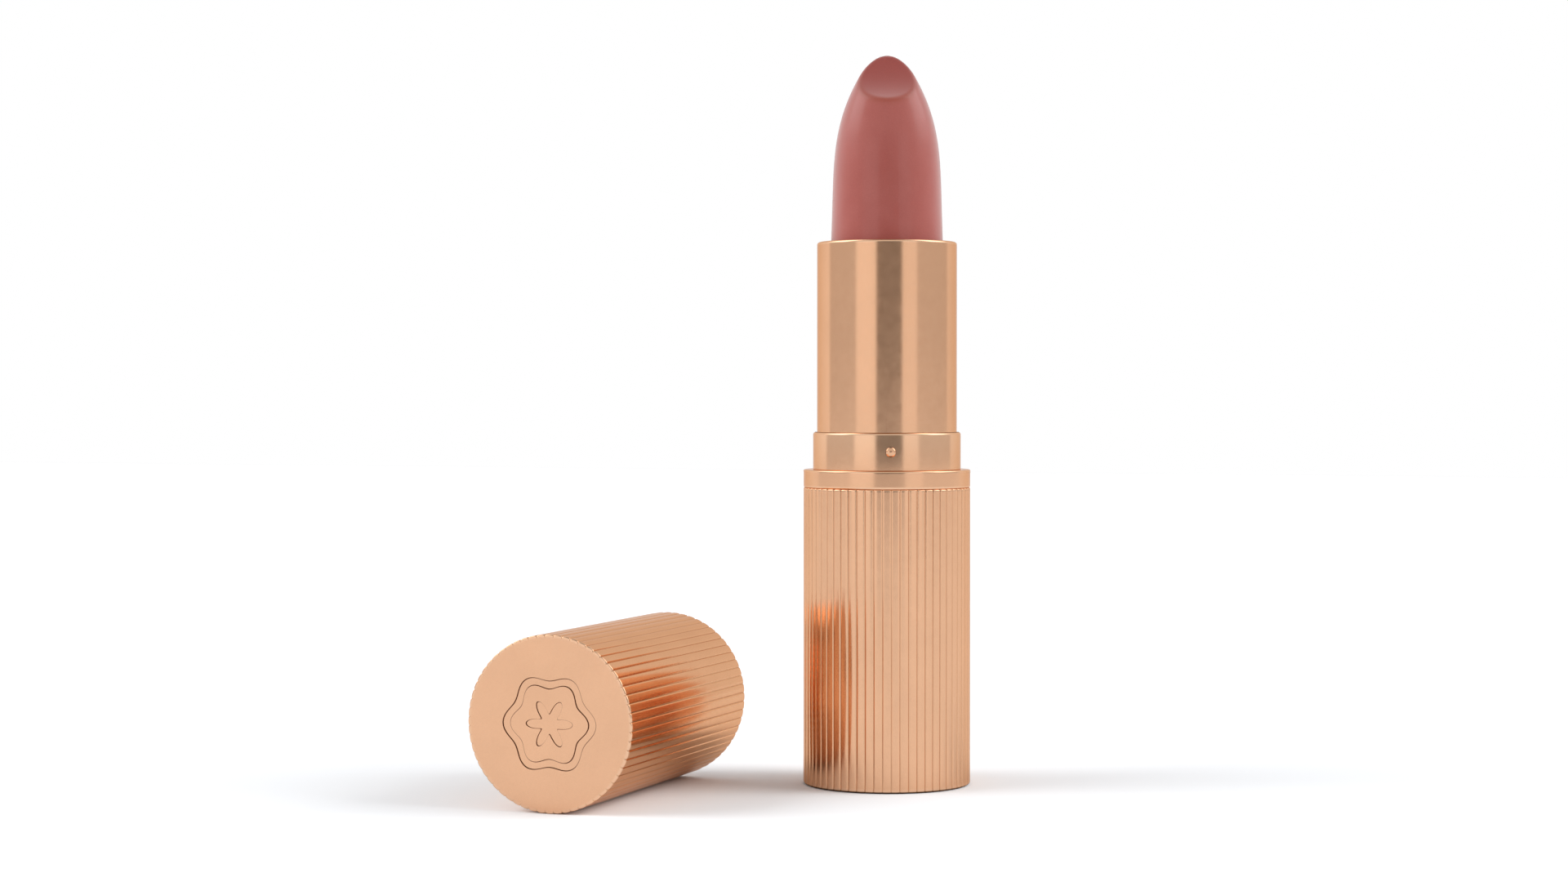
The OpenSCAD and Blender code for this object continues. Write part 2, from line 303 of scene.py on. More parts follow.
def make_piece(name, skins, body, node, slot, marks=None, sharp=math.radians(50)):
    """Puts one or more closed surfaces into one object, gives it its finish and lets it ride on its body."""
    vertices, corners, starts, offset, filled = [], [], [], 0, 0
    for points, quads, fans in skins:
        for faces in (quads, fans):
            corners.append((faces + offset).ravel())
            starts.append(filled + np.arange(len(faces)) * faces.shape[1])
            filled += faces.size
        vertices.append(points)
        offset += len(points)
    vertices, corners, starts = np.concatenate(vertices), np.concatenate(corners), np.concatenate(starts)
    mesh = bpy.data.meshes.new(name)
    mesh.vertices.add(len(vertices))
    mesh.vertices.foreach_set("co", vertices.astype(np.float32).ravel())
    mesh.loops.add(len(corners))
    mesh.loops.foreach_set("vertex_index", corners.astype(np.int32))
    mesh.polygons.add(len(starts))
    mesh.polygons.foreach_set("loop_start", starts.astype(np.int32))
    mesh.polygons.foreach_set("use_smooth", np.ones(len(starts), bool))
    mesh.update(calc_edges=True)
    if mesh.validate():
        raise RuntimeError(f"{name} has faulty faces")
    mesh.set_sharp_from_angle(angle=sharp)
    for label, values in (marks or {}).items():
        attribute = mesh.attributes.new(label, "FLOAT", "POINT")
        attribute.data.foreach_set("value", values.astype(np.float32))
    mesh.materials.append(finish(slot))
    piece = bpy.data.objects.new(name, mesh)
    bpy.context.scene.collection.objects.link(piece)
    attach(piece, body)
    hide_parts(node)


def flute_columns(flutes):
    """Azimuths round a fluted shell, and how far each lies from a flute's middle (0) to a groove's middle (1).

    Within half a flute the columns' shares follow 1 - (1 - k/n)^1.7, so that they crowd together towards the groove.
    """
    half = flutes.columns // 2
    share = 1 - (1 - np.arange(half + 1) / half) ** 1.7
    across = np.concatenate([share, 2 - share[-2:0:-1]])
    azimuth = (np.arange(flutes.count)[:, None] + across / 2) * 2 * math.pi / flutes.count
    return azimuth.ravel(), np.tile(1 - np.abs(1 - across), flutes.count)


def flute_dip(flutes, share, case_radius):
    """How far a fluted surface lies below its crests, and how deep in a groove it is, from 0 to 1.

    The dip is the crown times the share squared, plus the groove's depth times a cosine bell as wide as the groove.
    """
    pitch = 2 * math.pi * case_radius / flutes.count
    off_groove = (1 - share) * pitch / 2
    bell = 0.5 + 0.5 * np.cos(math.pi * np.clip(off_groove / (flutes.groove_width / 2), 0, 1))
    return flutes.crown * share**2 + flutes.groove_depth * bell, bell


def fluted_rows(outline, on_arc, case_radius, edges, flutes):
    """Radius, height and surface marks of a fluted shell over its grid of rows and columns.

    The outline's radius is lowered by the flutes' dip on the outside and on its rounded edges. The dip then fades to
    nothing, so that the end faces stay flat.
    """
    azimuth, share = flute_columns(flutes)
    dip, bell = flute_dip(flutes, share, case_radius)
    fade = np.clip((outline[:, 0] - (case_radius - edges.shell - FADE)) / FADE, 0, 1)
    fade = np.where(fade > 0.9, 1, fade)
    radius = outline[:, :1] - fade[:, None] * dip
    height = np.broadcast_to(outline[:, 1:], radius.shape)
    return azimuth, radius, height, {
        # The groove share sets where the metal is painted with groove shade
        "groove": fade[:, None] * bell,
        "edge": np.broadcast_to(on_arc[:, None], radius.shape),
    }


def with_poles(marks):
    """Surface marks as one list of values, with a zero for each of the surface's two poles."""
    return {name: np.append(values.ravel(), [0, 0]) for name, values in marks.items()}


def capped_skin(radius, height, azimuth, first, last, on_side=False):
    """The skin of a turned surface that meets its axis at a first and a last height, upright or on its side."""
    points, poles = turned(radius, height, azimuth), np.array([[0, 0, first], [0, 0, last]])
    if on_side:
        points, poles = laid_down(points), laid_down(poles)
    return skin(points, poles)


def plain_capped_skin(corners, radii, on_side=False):
    """The skin of a plain turned solid, from the corners of an outline that starts and ends on its axis."""
    outline = rounded(corners, radii)[0][1:-1]
    return capped_skin(outline[:, :1], outline[:, 1:], round_columns(), corners[0][1], corners[-1][1], on_side)


def ring_skin(corners, radii):
    """The skin of a plain turned ring from the corners of its closed outline, and 1 on its rounded edges."""
    outline, on_arc = rounded([*corners, corners[0], corners[1]], [*radii[1:], radii[0]])
    outline, on_arc = outline[1:-1], on_arc[1:-1]
    azimuth = round_columns()
    return skin(turned(outline[:, :1], outline[:, 1:], azimuth)), np.repeat(on_arc, len(azimuth))


def ring_piece(name, corners, radii, body, node):
    """A plain turned ring of rose metal."""
    ring, on_arc = ring_skin(corners, radii)
    make_piece(name, [ring], body, node, "rose_metal", {"edge": on_arc, "groove": np.zeros_like(on_arc)})


# Materials


def add_node(tree, kind, inputs=(), **settings):
    """A shader node with its settings and the values of its inputs, each a constant or another node's output."""
    made = tree.nodes.new(kind)
    for name, value in settings.items():
        setattr(made, name, value)
    for name, value in dict(inputs).items():
        if isinstance(value, bpy.types.NodeSocket):
            tree.links.new(value, made.inputs[name])
        else:
            made.inputs[name].default_value = value
    return made


def empty_tree(owner):
    """The node tree of a new material or world, emptied."""
    owner.use_nodes = True
    owner.node_tree.nodes.clear()
    return owner.node_tree


def noise(tree, place, size, detail=3.0, roughness=0.5):
    """Noise whose grains are about the given size in metres."""
    inputs = {"Vector": place, "Scale": 1 / size, "Detail": detail, "Roughness": roughness}
    return add_node(tree, "ShaderNodeTexNoise", inputs).outputs["Fac"]


def ranged(tree, value, low, high, from_low=0.3, from_high=0.7):
    """A value stretched from one range onto another."""
    inputs = {"Value": value, "From Min": from_low, "From Max": from_high, "To Min": low, "To Max": high}
    return add_node(tree, "ShaderNodeMapRange", inputs).outputs["Result"]


def mixed(tree, share, first, second, blend="MIX"):
    """Two colours mixed by a share."""
    inputs = {0: share, 6: first, 7: second}
    return add_node(tree, "ShaderNodeMix", inputs, data_type="RGBA", blend_type=blend).outputs[2]


def mark(tree, name):
    """A surface mark of the mesh, such as how deep in a groove it is."""
    return add_node(tree, "ShaderNodeAttribute", attribute_name=name).outputs["Fac"]


def bumped(tree, heights):
    """A normal bent by several height patterns, each given with its depth in metres."""
    normal = None
    for height, depth in heights:
        inputs = {"Height": height, "Strength": 1.0, "Distance": depth}
        if normal is not None:
            inputs["Normal"] = normal
        normal = add_node(tree, "ShaderNodeBump", inputs).outputs["Normal"]
    return normal


def opaque(colour, gain=1.0):
    """A colour as red, green, blue and alpha, made lighter or darker."""
    return (*(min(c * gain, 1.0) for c in colour), 1.0)


def add_grey(tree, value):
    """A value as a grey colour."""
    return add_node(tree, "ShaderNodeCombineColor", {"Red": value, "Green": value, "Blue": value}).outputs["Color"]


def rose_metal(tree, place, colours):
    """Plated rose-gold metal: satin and a little cloudy.

    Painted shade darkens the grooves, the beads' roots, the rosette's walls and the foot's lower edge. The rounded
    edges are lighter, partly as wear and partly as a painted highlight.
    """
    cloud = ranged(tree, noise(tree, place, 6 * MM), 0, 1)
    grain = noise(tree, place, 0.09 * MM, detail=2.0)
    haze = noise(tree, place, 1.1 * MM, detail=4.0)
    plate = mixed(tree, cloud, opaque(colours.metal, 0.97), opaque(colours.metal, 1.02))
    speck = ranged(tree, grain, 0.965, 1.03)
    plate = mixed(tree, 1.0, plate, add_grey(tree, speck), blend="MULTIPLY")
    # Wear and painted highlight: the rounded edges are drawn lighter
    worn_and_highlit = mixed(tree, ranged(tree, mark(tree, "edge"), 0, 0.55, 0, 1), plate, opaque(colours.metal_edge_wear_and_highlight))
    # Painted shade: the metal is drawn darker in the grooves
    groove = ranged(tree, mark(tree, "groove"), 0, 0.8, 0.15, 1)
    grooved = mixed(tree, groove, worn_and_highlit, opaque(colours.metal_groove_shade))
    return {
        # Painted shade: where the sunk mark lies, the metal is drawn dark
        "Base Color": mixed(tree, mark(tree, "sunk"), grooved, opaque(colours.metal_painted_shade)),
        "Roughness": ranged(tree, haze, 0.14, 0.18),
        "Normal": bumped(tree, [(grain, 0.00000035), (haze, 0.0000012)]),
        "Metallic": 1.0,
        "Specular Tint": opaque(colours.metal_rim),
    }


def lipstick_wax(tree, place, colours):
    """Moulded lipstick wax: dense colour with a faint bloom, a soft gloss and a little light let in.

    The slanted face and its rim are drawn in darker wax, as painted shade.
    """
    bloom = ranged(tree, noise(tree, place, 2.6 * MM, detail=5.0), 0, 0.35)
    pigment = noise(tree, place, 0.12 * MM, detail=3.0)
    waves = noise(tree, place, 0.9 * MM, detail=2.0)
    colour = mixed(tree, bloom, opaque(colours.wax), opaque(colours.wax_pale))
    # Painted shade: darker wax on the slanted face and along its rim
    colour = mixed(tree, mark(tree, "face"), colour, opaque(colours.wax_face_shade))
    colour = mixed(tree, mark(tree, "rim"), colour, opaque(colours.wax_rim_shade))
    return {
        "Base Color": mixed(tree, 1.0, colour, add_grey(tree, ranged(tree, pigment, 0.95, 1.04)), blend="MULTIPLY"),
        "Roughness": ranged(tree, bloom, 0.30, 0.38, 0, 0.35),
        "Normal": bumped(tree, [(pigment, 0.0000007), (waves, 0.000002)]),
        "Subsurface Weight": 0.12,
        "Subsurface Radius": (1.0, 0.35, 0.25),
        "Subsurface Scale": 0.6 * MM,
        "IOR": 1.36,
        "Coat Weight": 0.35,
        "Coat Roughness": 0.12,
        "Sheen Weight": 0.6,
        "Sheen Roughness": 0.4,
        "Sheen Tint": (1.0, 0.86, 0.84, 1.0),
    }


def moulded(tree, place, colour, roughness, grain_size=0.25 * MM, grain_depth=0.000004):
    """A moulded plastic: fine spark-eroded grain, slightly uneven gloss and colour."""
    flow = noise(tree, place, 5 * MM, detail=2.0)
    grain = noise(tree, place, grain_size, detail=4.0)
    return {
        "Base Color": mixed(tree, ranged(tree, flow, 0, 1), opaque(colour, 0.95), opaque(colour, 1.04)),
        "Roughness": ranged(tree, grain, roughness - 0.05, roughness + 0.06),
        "Normal": bumped(tree, [(grain, grain_depth)]),
    }


def liner_plastic(tree, place, colours):
    """The liners' plastic."""
    return moulded(tree, place, colours.liner, 0.38)


def mechanism_plastic(tree, place, colours):
    """The pale plastic of the mechanism, a little duller than the liners'."""
    return moulded(tree, place, colours.works, 0.42)


def drag_silicone(tree, place, colours):
    """Dull silicone, with a finer and deeper grain."""
    return moulded(tree, place, colours.silicone, 0.62, 0.15 * MM, 0.000006)


def zinc_steel(tree, place, colours):
    """Zinc-plated steel: turned, with fine rings, and a spangled plating."""
    spangle = add_node(tree, "ShaderNodeTexVoronoi", {"Vector": place, "Scale": 1 / (0.8 * MM)}).outputs["Distance"]
    turning = {"Vector": place, "Scale": 1 / (4 * MM), "Distortion": 0.4, "Detail": 2.0}
    rings = add_node(tree, "ShaderNodeTexWave", turning, wave_type="RINGS", rings_direction="Z").outputs["Fac"]
    plating = ranged(tree, spangle, 0, 1, 0, 0.8)
    return {
        "Base Color": mixed(tree, plating, opaque(colours.steel, 0.85), opaque(colours.steel, 1.1)),
        "Roughness": ranged(tree, spangle, 0.28, 0.42, 0, 0.8),
        "Normal": bumped(tree, [(rings, 0.000002)]),
        "Metallic": 1.0,
    }


def label_film(tree, place, colours):
    """Blank label film: matt, with a faint paper fibre."""
    fibre = noise(tree, place, 0.35 * MM, detail=6.0, roughness=0.65)
    return {
        "Base Color": mixed(tree, ranged(tree, fibre, 0, 1), opaque(colours.film, 0.93), opaque(colours.film, 1.03)),
        "Roughness": ranged(tree, fibre, 0.48, 0.6),
        "Normal": bumped(tree, [(fibre, 0.000003)]),
    }


PAINTS = (rose_metal, lipstick_wax, liner_plastic, mechanism_plastic, drag_silicone, zinc_steel, label_film)
PAINT_OF = {paint.__name__: paint for paint in PAINTS}


def finish(name):
    """The material of a named finish, made the first time that it is asked for.

    The finish's function lays its patterns out by Object coordinates and gives the shader's inputs.
    """
    material = bpy.data.materials.get(f"{name}_finish")
    if material is None:
        material = bpy.data.materials.new(f"{name}_finish")
        tree = empty_tree(material)
        place = add_node(tree, "ShaderNodeTexCoord").outputs["Object"]
        inputs = PAINT_OF[name](tree, place, bpy.context.scene.case_finishes)
        shader = add_node(tree, "ShaderNodeBsdfPrincipled", inputs)
        add_node(tree, "ShaderNodeOutputMaterial", {"Surface": shader.outputs["BSDF"]})
    return material


# Pieces


class LIPSTICK_OT_base_shell(Operator):
    """Build the fluted metal shell of the base"""

    bl_idname = "lipstick.base_shell"
    bl_label = "Base Shell"

    def execute(self, context):
        """The outline runs up the inside, over the top edge, down the fluted outside and round the foot's recess."""
        scene = context.scene
        edges, flutes = scene.case_edges, scene.case_flutes
        low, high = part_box("base_shell")
        outside, bore, recess = half_width("base_shell"), half_width("base_liner"), half_width("foot_label")
        recess_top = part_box("foot_label")[1].z
        corners = [
            (0, edges.end_wall), (bore, edges.end_wall), (bore, high.z), (outside, high.z),
            (outside, low.z), (recess, low.z), (recess, recess_top), (0, recess_top),
        ]
        tight = 0.03 * MM
        radii = [tight, tight, edges.shell, edges.foot, tight, tight]
        outline, on_arc = rounded(corners, radii, hold=FADE)
        azimuth, radius, height, marks = fluted_rows(outline[1:-1], on_arc[1:-1], outside, edges, flutes)
        # Painted shadow: the foot's lower rounded edge is drawn in the dark metal, as the contact shade under the base
        marks["sunk"] = np.where((height < 0.5 * edges.foot) & (radius > recess), 1.0, 0.0)
        skins = [capped_skin(radius, height, azimuth, edges.end_wall, recess_top)]
        make_piece("fluted_base", skins, "base", "base_shell", "rose_metal", with_poles(marks))
        return {"FINISHED"}


class LIPSTICK_OT_foot_label(Operator):
    """Build the blank label in the recess of the foot"""

    bl_idname = "lipstick.foot_label"
    bl_label = "Foot Label"

    def execute(self, context):
        """A thin disc: the outline runs from the middle of its top round the edge to the middle of its underside."""
        low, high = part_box("foot_label")
        radius = half_width("foot_label") - context.scene.case_edges.gap
        raised, glued_edge, free_edge = 0.08 * MM, 0.02 * MM, 0.04 * MM
        face = low.z + raised
        corners = [(0, high.z), (radius, high.z), (radius, face), (0, face)]
        skins = [plain_capped_skin(corners, [glued_edge, free_edge])]
        make_piece("blank_label", skins, "base", "foot_label", "label_film")
        return {"FINISHED"}


class LIPSTICK_OT_shoulder_ring(Operator):
    """Build the smooth metal band on top of the base"""

    bl_idname = "lipstick.shoulder_ring"
    bl_label = "Shoulder Ring"

    def execute(self, context):
        """A rectangle with small rounded corners, turned round the axis."""
        edges = context.scene.case_edges
        low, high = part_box("shoulder_ring")
        outside, bore = half_width("shoulder_ring"), half_width("snap_collar") - COLLAR_STEP
        corners = [(bore, low.z), (outside, low.z), (outside, high.z), (bore, high.z)]
        tight = 0.02 * MM
        ring_piece("shoulder_band", corners, [tight, edges.band, edges.band, tight], "base", "shoulder_ring")
        return {"FINISHED"}


def bead_skin(beads, collar_radius, middle, azimuth):
    """One closed bead: a dome on the collar's wall, with a back inside it.

    With s from 0 in the middle to 1 at the root, the dome stands out by rise times (1 - s^2)^0.75, less a dip times
    s^4, which takes its root under the wall. It is wrapped round the collar by turning the sideways distance into an
    angle. Returns the dome's skin and, for each of its points, how close to the root it is.
    """
    rows, columns, dip = 14, 48, 0.012 * MM
    around = round_columns(columns)
    share = np.sin(np.linspace(0, math.pi / 2, rows))[1:]
    rise = beads.rise * (1 - share**2) ** 0.75 - dip * share**4
    share = np.append(share, 1.0)
    rise = np.append(rise, -BEAD_ROOT)
    sideways = beads.radius * share[:, None] * np.cos(around)
    upwards = beads.radius * share[:, None] * np.sin(around)
    radius = np.broadcast_to((collar_radius + rise)[:, None], sideways.shape)
    points = turned(radius, middle + upwards, azimuth + sideways / collar_radius)
    front = turned(collar_radius + beads.rise, middle, azimuth)
    back = turned(collar_radius - BEAD_ROOT, middle, azimuth)
    # Painted shade: this share marks a dark ring drawn round the bead's root
    root_from, root_over = 0.88, 0.1
    root = np.repeat(np.clip((share - root_from) / root_over, 0, 1), columns)
    return skin(points, [front, back]), np.append(root, [0, 0])


class LIPSTICK_OT_snap_collar(Operator):
    """Build the collar that holds the cap, with its snap beads"""

    bl_idname = "lipstick.snap_collar"
    bl_label = "Snap Collar"

    def execute(self, context):
        """The collar is a stepped tube turned round the axis; each bead is a closed dome sunk into its wall."""
        scene = context.scene
        edges, beads = scene.case_edges, scene.case_beads
        low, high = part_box("snap_collar")
        band_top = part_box("shoulder_ring")[1].z
        collar = half_width("snap_collar")
        bore = half_width("upper_sleeve") + edges.gap
        tail = collar - COLLAR_STEP
        corners = [
            (bore, low.z), (tail, low.z), (tail, band_top), (collar, band_top), (collar, high.z), (bore, high.z),
        ]
        wall_skin, wall = ring_skin(corners, [0.03 * MM, 0.05 * MM, 0.02 * MM, 0.03 * MM, edges.collar, 0.08 * MM])
        turns = beads.azimuth + round_columns(beads.count)
        domes = [bead_skin(beads, collar, band_top + beads.height, turn) for turn in turns]
        roots = np.concatenate([root for _, root in domes])
        marks = {
            "edge": np.concatenate([wall, np.zeros_like(roots)]),
            "groove": np.zeros(len(wall) + len(roots)),
            # Painted shade: the beads' roots are drawn dark
            "sunk": np.concatenate([np.zeros_like(wall), roots]),
        }
        skins = [wall_skin, *(dome for dome, _ in domes)]
        make_piece("beaded_collar", skins, "base", "snap_collar", "rose_metal", marks)
        return {"FINISHED"}


class LIPSTICK_OT_upper_sleeve(Operator):
    """Build the plain metal sleeve that turns to raise the bullet"""

    bl_idname = "lipstick.upper_sleeve"
    bl_label = "Upper Sleeve"

    def execute(self, context):
        """A thin tube turned round the axis, with a lip rolled in at its mouth and a rounded outer edge."""
        edges = context.scene.case_edges
        low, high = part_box("upper_sleeve")
        outside = half_width("upper_sleeve")
        bore = outside - edges.sleeve_wall
        mouth, lip_foot = half_width("lipstick_bullet") + 2 * edges.gap, high.z - edges.sleeve_lip
        corners = [
            (outside, low.z), (outside, high.z), (mouth, high.z), (mouth, lip_foot), (bore, lip_foot), (bore, low.z),
        ]
        tight = 0.05 * MM
        radii = [tight, edges.sleeve, 0.16 * MM, 0.1 * MM, tight, tight]
        ring_piece("plain_sleeve", corners, radii, "sleeve", "upper_sleeve")
        return {"FINISHED"}


def bullet_radius(shape, shaft, sleeve_top, height):
    """Radius of the uncut bullet: the drafted shaft times (1 - share^power)^root, the share rising along the point."""
    above = height - sleeve_top
    share = np.clip((above - shape.point_start) / (shape.point_apex - shape.point_start), 0, 1)
    narrowed = shaft - shape.draft * np.clip(above, 0, None)
    return narrowed * (1 - share**shape.point_power) ** shape.point_root


def scoop_middle(shape, tip_height):
    """Middle of the scoop's circle, as (forward, height): it passes through the face's low edge and its tip."""
    low = np.array([shape.low_forward, tip_height - shape.low_drop])
    tip = np.array([-shape.tip_back, tip_height])
    half = np.linalg.norm(tip - low) / 2
    upwards = np.array([tip[1] - low[1], low[0] - tip[0]]) / (2 * half)
    return (low + tip) / 2 + upwards * math.sqrt(shape.scoop_radius**2 - half**2)


def soft_larger(first, second, width):
    """The larger of two values, rounded off where they are closer than a width.

    It is the larger plus a quarter of the width times the square of (1 - their distance over the width).
    """
    overlap = np.clip(1 - np.abs(first - second) / width, 0, None)
    return np.maximum(first, second) + width / 4 * overlap**2


class LIPSTICK_OT_bullet(Operator):
    """Build the lipstick bullet with its slanted face"""

    bl_idname = "lipstick.bullet"
    bl_label = "Bullet"

    def execute(self, context):
        """The point is found along rays from a middle on the axis, by azimuth and elevation.

        On each ray the surface is where the softened larger of two depths is zero: the depth outside the turned point
        and the depth inside the scoop's cylinder. Halving the ray again and again finds it. The shaft below is turned.
        The difference of the two depths marks the slanted face and its rim. The scoop is aimed above the tip by what
        the rim's rounding takes off, and the first depth, measured level, is lessened because the surface leans.
        """
        columns, rows, halvings, taken_off, lean = 240, 131, 40, 0.44, 0.8
        shape = context.scene.case_bullet
        low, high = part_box("lipstick_bullet")
        sleeve_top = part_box("upper_sleeve")[1].z
        shaft = half_width("lipstick_bullet")
        middle = sleeve_top + shape.point_start
        forward, lift = scoop_middle(shape, high.z + taken_off * shape.rim)
        azimuth = round_columns(columns)
        elevation = np.linspace(0, math.pi / 2, rows + 1)[:-1]
        outward = np.cos(elevation)[:, None] * np.ones_like(azimuth)
        upward = np.sin(elevation)[:, None] * np.ones_like(azimuth)
        facing = np.cos(azimuth - shape.azimuth)

        def depths(distance):
            """How far a point on each ray lies outside the turned point, and inside the scoop's cylinder."""
            radius, height = outward * distance, middle + upward * distance
            outside = (radius - bullet_radius(shape, shaft, sleeve_top, height)) * lean
            return outside, shape.scoop_radius - np.hypot(radius * facing - forward, height - lift)

        near, far = np.zeros_like(outward), np.full_like(outward, high.z - middle + shaft)
        for _ in range(halvings):
            half = (near + far) / 2
            inside = soft_larger(*depths(half), shape.rim) < 0
            near, far = np.where(inside, half, near), np.where(inside, far, half)
        point = turned(outward * near, middle + upward * near, azimuth)
        outside, scooped = depths(near)
        # Painted shade: these shares carry the darker wax of the slanted face and its rim
        face_painted_shade = np.clip(0.5 + (scooped - outside) / shape.rim, 0, 1)
        rim_painted_shade = np.exp(-(((scooped - outside) / shape.rim) ** 2)) * np.clip(facing, 0, 1)
        top = lift - math.sqrt(shape.scoop_radius**2 - forward**2)
        foot_edge, stem_rows = 0.2 * MM, 6
        outline, _ = rounded([(0, low.z), (shaft, low.z), (shaft, sleeve_top)], [foot_edge])
        stem_heights = np.linspace(sleeve_top, middle, stem_rows + 2)[1:-1]
        stem_radii = shaft - shape.draft * (stem_heights - sleeve_top)
        outline = np.concatenate([outline[1:], np.stack([stem_radii, stem_heights], axis=-1)])
        stem = turned(outline[:, :1], outline[:, 1:], azimuth)
        skins = [skin(np.concatenate([stem, point]), [(0, 0, low.z), (0, 0, top)])]
        plain = np.zeros(stem[..., 0].size)
        marks = {
            "face": np.concatenate([plain, face_painted_shade.ravel(), [0, 1]]),
            "rim": np.concatenate([plain, rim_painted_shade.ravel(), [0, 0]]),
        }
        make_piece("wax_bullet", skins, "carrier", "lipstick_bullet", "lipstick_wax", marks, math.pi)
        return {"FINISHED"}


class LIPSTICK_OT_cap_shell(Operator):
    """Build the fluted metal shell of the cap, with the rosette on its closed end"""

    bl_idname = "lipstick.cap_shell"
    bl_label = "Cap Shell"

    def execute(self, context):
        """Upright, the outline runs up the inside, over the mouth, down the fluted outside and onto the closed end.

        The rows on the closed end then follow the rosette's edges: their radius is a mean plus a swing times the cosine
        of lobes times the azimuth. Each edge is a narrow wall with a ledge on either side of it.
        The walls are drawn in the dark metal as painted shade.
        """
        scene = context.scene
        edges, flutes, end = scene.case_edges, scene.case_flutes, scene.case_cap_end
        low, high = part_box("cap_shell")
        case_radius, length = (high.z - low.z) / 2, high.y - low.y
        liner_low, liner_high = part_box("cap_liner")
        bore = (liner_high.z - liner_low.z) / 2
        corners = [
            (0, edges.end_wall), (bore, edges.end_wall), (bore, length),
            (case_radius, length), (case_radius, 0), (0, 0),
        ]
        outline, on_arc = rounded(corners, [0.03 * MM, 0.1 * MM, edges.shell, edges.shell], hold=FADE)
        azimuth, radius, height, marks = fluted_rows(outline[1:-1], on_arc[1:-1], case_radius, edges, flutes)
        swing = np.cos(end.lobes * azimuth)
        wall = ledge = 0.05 * MM
        band_out = end.band_outer + end.band_swing * swing
        band_in = end.band_inner + end.band_swing * swing
        flower = end.flower + end.flower_swing * swing
        walls = [(band_out, 0, end.depth), (band_in + wall, end.depth, 0), (flower, 0, end.depth)]
        ends = []
        for start, before, after in walls:
            ends += [(start + ledge, before, 0), (start, before, 1)]
            ends += [(start - wall, after, 1), (start - wall - ledge, after, 0)]
        ends.append((0.3 * flower, end.depth, 0))
        blank = np.zeros((len(ends), len(azimuth)))
        marks = {name: np.concatenate([values, blank]) for name, values in marks.items()}
        on_wall = np.repeat([wall_here for _, _, wall_here in ends], len(azimuth)).reshape(blank.shape)
        # Painted shade: the rosette's walls are drawn in the dark metal
        marks["sunk"] = np.concatenate([np.zeros_like(radius), on_wall])
        radius = np.concatenate([radius, [row for row, _, _ in ends]])
        height = np.concatenate([height, [np.full_like(swing, deep) for _, deep, _ in ends]])
        skins = [capped_skin(radius, height, azimuth, edges.end_wall, end.depth, on_side=True)]
        sharp = math.radians(40)
        make_piece("fluted_cap", skins, "cap", "cap_shell", "rose_metal", with_poles(marks), sharp)
        return {"FINISHED"}


class LIPSTICK_OT_cap_liner(Operator):
    """Build the moulded liner inside the cap, with its snap groove"""

    bl_idname = "lipstick.cap_liner"
    bl_label = "Cap Liner"

    def execute(self, context):
        """Upright, the outline runs from the floor up the bore, through the snap groove and down the outside."""
        edges, beads = context.scene.case_edges, context.scene.case_beads
        clearance, floor_wall, floor_corner = 0.2 * MM, 0.8 * MM, 0.8 * MM
        seat_depth, groove_width, fine = 4.4 * MM, 1.4 * MM, 0.05 * MM
        low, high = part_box("cap_liner")
        shell_low, shell_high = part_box("cap_shell")
        outside, back, mouth = (high.z - low.z) / 2, low.y - shell_low.y, high.y - shell_low.y
        rim = shell_high.y - shell_low.y
        bore, floor = half_width("upper_sleeve") + clearance, back + floor_wall
        seat = mount_radius("cap_mouth")
        groove = seat + beads.rise
        groove_start = rim - beads.height - groove_width / 2
        groove_end = groove_start + groove_width
        corners = [
            (0, floor), (bore, floor), (bore, rim - seat_depth), (seat, rim - seat_depth),
            (seat, groove_start), (groove, groove_start), (groove, groove_end), (seat, groove_end),
            (seat, mouth), (outside, mouth), (outside, back), (0, back),
        ]
        radii = [floor_corner, *[fine] * 6, edges.plastic, fine, fine]
        skins = [plain_capped_skin(corners, radii, on_side=True)]
        make_piece("moulded_liner", skins, "cap", "cap_liner", "liner_plastic")
        return {"FINISHED"}


class LIPSTICK_OT_inner_works(Operator):
    """Give the mechanism, the liner and the weights their finishes"""

    bl_idname = "lipstick.inner_works"
    bl_label = "Inner Works"

    def execute(self, context):
        """The shapes of these pieces are right as they are, so only their materials are set."""
        finishes = {
            "base_liner": "liner_plastic",
            "base_weight": "zinc_steel",
            "guide_tube": "mechanism_plastic",
            "drag_washer": "drag_silicone",
            "spiral_sleeve": "mechanism_plastic",
            "bullet_cup": "mechanism_plastic",
            "cap_weight": "zinc_steel",
        }
        for node, name in finishes.items():
            mesh = frame["nodes"][node].data
            mesh.materials.clear()
            mesh.materials.append(finish(name))
        return {"FINISHED"}


# Stage


def floor_material(colours):
    """Pale studio floor. It looks lighter straight on than in reflections, as a sweep that is lit from behind does."""
    material = bpy.data.materials.new("studio_floor")
    tree = empty_tree(material)
    seen = add_node(tree, "ShaderNodeLightPath").outputs["Is Camera Ray"]
    tint = mixed(tree, seen, opaque(colours.floor), opaque(colours.floor_seen))
    shader = add_node(tree, "ShaderNodeBsdfDiffuse", {"Color": tint})
    add_node(tree, "ShaderNodeOutputMaterial", {"Surface": shader.outputs["BSDF"]})
    return material


